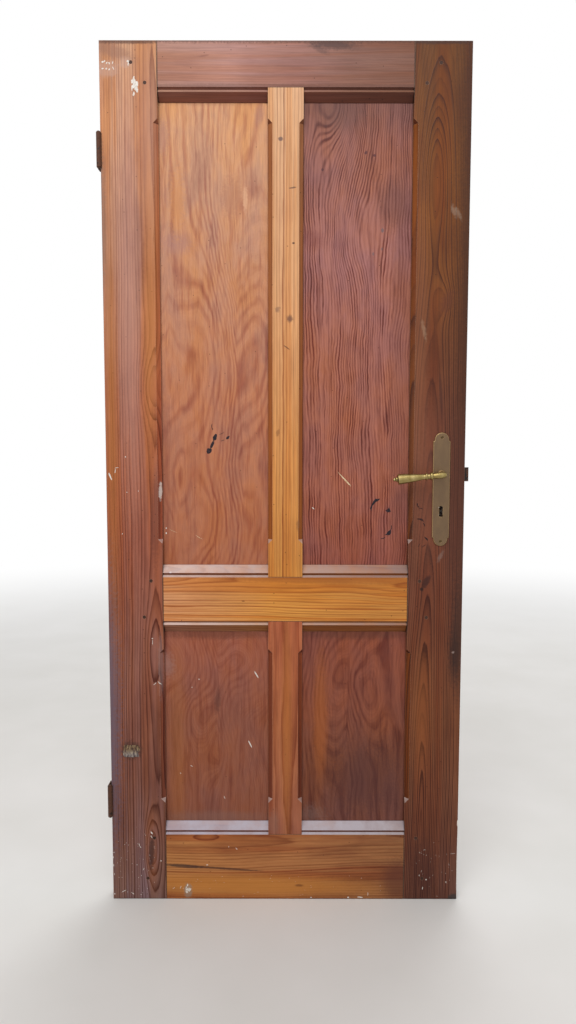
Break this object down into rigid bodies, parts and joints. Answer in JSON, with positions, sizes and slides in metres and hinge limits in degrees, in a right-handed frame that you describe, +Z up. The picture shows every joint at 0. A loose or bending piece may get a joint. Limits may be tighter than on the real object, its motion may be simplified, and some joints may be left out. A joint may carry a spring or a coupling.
{
  "type": "panelled front door",
  "caption": "Framed wooden door leaf with flat panels, butt hinges, long brass plates, lever handles and a mortise lock.",
  "frame": {"origin": "middle of the leaf's bottom edge, halfway through its thickness", "axes": "+Z up, +X from the hinge edge to the lock edge, +Y through the leaf from the hinge knuckle side to the other side"},
  "size_m": [0.8605, 0.1486, 2.01],
  "materials": {
    "stile_wood": "worn varnish",
    "rail_wood": "worn varnish",
    "muntin_wood": "worn varnish",
    "panel_veneer": "varnished veneer",
    "peg_wood": "varnished end grain",
    "hinge_steel": "rusted",
    "screw_steel": "dull",
    "lock_steel": "dull",
    "latch_steel": "rubbed",
    "spring_steel": "bright",
    "aged_brass": "aged, rubbed",
    "brass_screws": "aged"
  },
  "bodies": {
    "jamb_side": {"upper_hinge_jamb_leaf": "hinge_steel", "lower_hinge_jamb_leaf": "hinge_steel", "upper_hinge_pin": "hinge_steel", "lower_hinge_pin": "hinge_steel"},
    "leaf": {"hinge_stile": "stile_wood", "lock_stile": "stile_wood", "top_rail": "rail_wood", "lock_rail": "rail_wood", "bottom_rail": "rail_wood", "upper_muntin": "muntin_wood", "lower_muntin": "muntin_wood", "panel_upper_left": "panel_veneer", "panel_upper_right": "panel_veneer", "panel_lower_left": "panel_veneer", "panel_lower_right": "panel_veneer", "draw_pegs": "peg_wood", "tenon_wedges": "peg_wood", "upper_hinge_door_leaf": "hinge_steel", "lower_hinge_door_leaf": "hinge_steel", "hinge_screws": "screw_steel", "front_plate": "aged_brass", "back_plate": "aged_brass", "plate_screws": "brass_screws", "lock_case": "lock_steel", "lock_cover": "lock_steel", "case_screws": "screw_steel", "lock_faceplate": "lock_steel", "faceplate_screws": "screw_steel", "latch_spring": "spring_steel", "bolt_spring": "spring_steel"},
    "levers": {"front_lever": "aged_brass", "back_lever": "aged_brass", "spindle": "lock_steel", "lever_pins": "screw_steel", "follower": "lock_steel"},
    "latch": {"latch_bolt": "latch_steel"},
    "bolt": {"dead_bolt": "latch_steel"}
  },
  "joints": [
    {"name": "door_swing", "type": "hinge", "parent": "jamb_side", "child": "leaf", "pos_m": [-0.423, -0.023, 1.772], "axis": [0, 0, -1], "range_deg": [0, 170]},
    {"name": "lever_turn", "type": "hinge", "parent": "leaf", "child": "levers", "pos_m": [0.365, 0, 1.039], "axis": [0, -1, 0], "range_deg": [0, 38], "stiffness_Nm_per_rad": 0.9, "springref_deg": -28.65},
    {"name": "latch_slide", "type": "slide", "parent": "leaf", "child": "latch", "axis": [-1, 0, 0], "range_m": [0, 0.0118], "deforming": ["latch_spring"]},
    {"name": "bolt_throw", "type": "slide", "parent": "leaf", "child": "bolt", "axis": [1, 0, 0], "range_m": [0, 0.015], "deforming": ["bolt_spring"]}
  ],
  "couplings": [
    {"joint": "latch_slide", "follows": "lever_turn", "m_per_rad": 0.01779}
  ]
}
